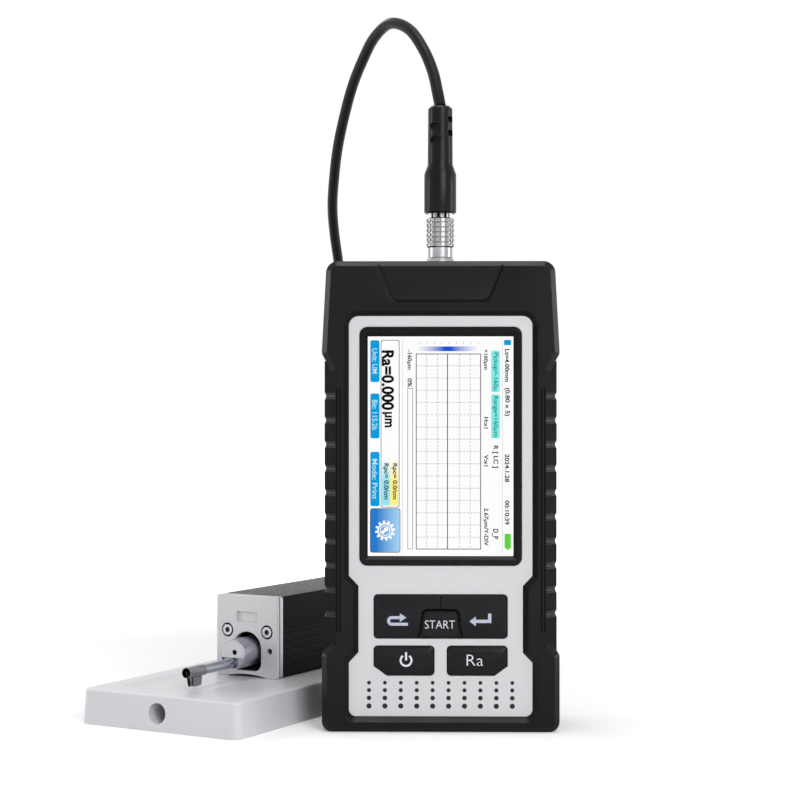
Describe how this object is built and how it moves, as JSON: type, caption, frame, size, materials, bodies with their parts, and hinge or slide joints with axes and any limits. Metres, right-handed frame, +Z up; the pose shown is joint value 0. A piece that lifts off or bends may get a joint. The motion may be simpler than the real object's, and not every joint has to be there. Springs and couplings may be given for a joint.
{
  "type": "surface roughness tester",
  "caption": "Handheld surface roughness tester in a rubber boot with an upright screen and keys, joined by a lead to a stylus traverse driver that stands on a flat base.",
  "frame": {"origin": "middle of the handheld unit's foot, on the surface it stands on", "axes": "+Z up, +X to the right seen from the screen side, the screen faces -Y"},
  "size_m": [0.1624, 0.2477, 0.2487],
  "materials": {
    "black_rubber": "soft matt moulding",
    "case_plastic": "fine spark texture",
    "silver_panel": "satin silver paint",
    "bezel_black": "semi-gloss",
    "clear_glass": "clear",
    "display_white": "lit display",
    "board_green": "solder mask",
    "key_black": "satin",
    "guide_plastic": "plain moulding",
    "battery_wrap": "shrink wrap",
    "small_black": "plain",
    "steel": "ground steel",
    "plated": "satin plating",
    "black_anodised": "black anodised",
    "bright_alloy": "brushed",
    "grey_alloy": "grey anodised",
    "brass": "turned",
    "base_white": "fine satin moulding"
  },
  "bodies": {
    "tester": {"rubber_boot": "black_rubber", "rear_case": "case_plastic", "front_panel": "silver_panel", "screen_bezel": "bezel_black", "screen_lens": "clear_glass", "display_module": "display_white", "main_board": "board_green", "key_guide": "guide_plastic", "battery_pack": "battery_wrap", "buzzer": "small_black", "case_screws": "steel", "socket_shell": "plated", "socket_nut": "plated", "plug_shell": "plated", "plug_collet": "plated", "bend_relief": "black_rubber", "lead_rise": "black_rubber", "lead_coil": "black_rubber", "lead_tail": "black_rubber", "coil_tie": "small_black", "driver_gland": "black_rubber", "driver_housing": "black_anodised", "front_plate": "bright_alloy", "front_spacer": "grey_alloy", "front_screws": "steel", "rear_plate": "black_anodised", "rear_screws": "steel", "guide_rods": "steel", "screw_bush": "brass", "motor_bracket": "grey_alloy", "gear_motor": "brass", "base_plate": "base_white"},
    "return_key": {"return_key": "key_black"},
    "enter_key": {"enter_key": "key_black"},
    "start_key": {"start_key": "key_black"},
    "power_key": {"power_key": "key_black"},
    "parameter_key": {"parameter_key": "key_black"},
    "release_sleeve": {"release_sleeve": "plated"},
    "pickup": {"carriage": "grey_alloy", "lead_nut": "brass", "pickup_sleeve": "grey_alloy", "pickup_core": "bright_alloy", "stylus_tube": "grey_alloy", "tube_nose": "grey_alloy", "skid": "steel"},
    "lead_screw": {"lead_screw": "steel"},
    "stylus_lever": {"stylus_lever": "small_black"}
  },
  "joints": [
    {"name": "return_press", "type": "slide", "parent": "tester", "child": "return_key", "axis": [0, 1, 0], "range_m": [0, 0.0007], "stiffness_N_per_m": 700},
    {"name": "enter_press", "type": "slide", "parent": "tester", "child": "enter_key", "axis": [0, 1, 0], "range_m": [0, 0.0007], "stiffness_N_per_m": 700},
    {"name": "start_press", "type": "slide", "parent": "tester", "child": "start_key", "axis": [0, 1, 0], "range_m": [0, 0.0007], "stiffness_N_per_m": 700},
    {"name": "power_press", "type": "slide", "parent": "tester", "child": "power_key", "axis": [0, 1, 0], "range_m": [0, 0.0007], "stiffness_N_per_m": 700},
    {"name": "parameter_press", "type": "slide", "parent": "tester", "child": "parameter_key", "axis": [0, 1, 0], "range_m": [0, 0.0007], "stiffness_N_per_m": 700},
    {"name": "sleeve_pull", "type": "slide", "parent": "tester", "child": "release_sleeve", "axis": [0, 0, 1], "range_m": [0, 0.0008], "stiffness_N_per_m": 900},
    {"name": "traverse", "type": "slide", "parent": "tester", "child": "pickup", "axis": [0.4772, 0.8788, 0], "range_m": [0, 0.0175]},
    {"name": "screw_turn", "type": "hinge", "parent": "tester", "child": "lead_screw", "pos_m": [-0.05503, 0.05497, 0.033], "axis": [0.4772, 0.8788, 0], "range_deg": [0, 3240]},
    {"name": "stylus_tilt", "type": "hinge", "parent": "pickup", "child": "stylus_lever", "pos_m": [-0.06743, 0.03212, 0.01765], "axis": [0.8788, -0.4772, 0], "range_deg": [-0.8, 0.8], "stiffness_Nm_per_rad": 0.007, "springref_deg": -0.32}
  ],
  "couplings": [
    {"joint": "screw_turn", "follows": "traverse", "rad_per_m": 3141.6}
  ]
}
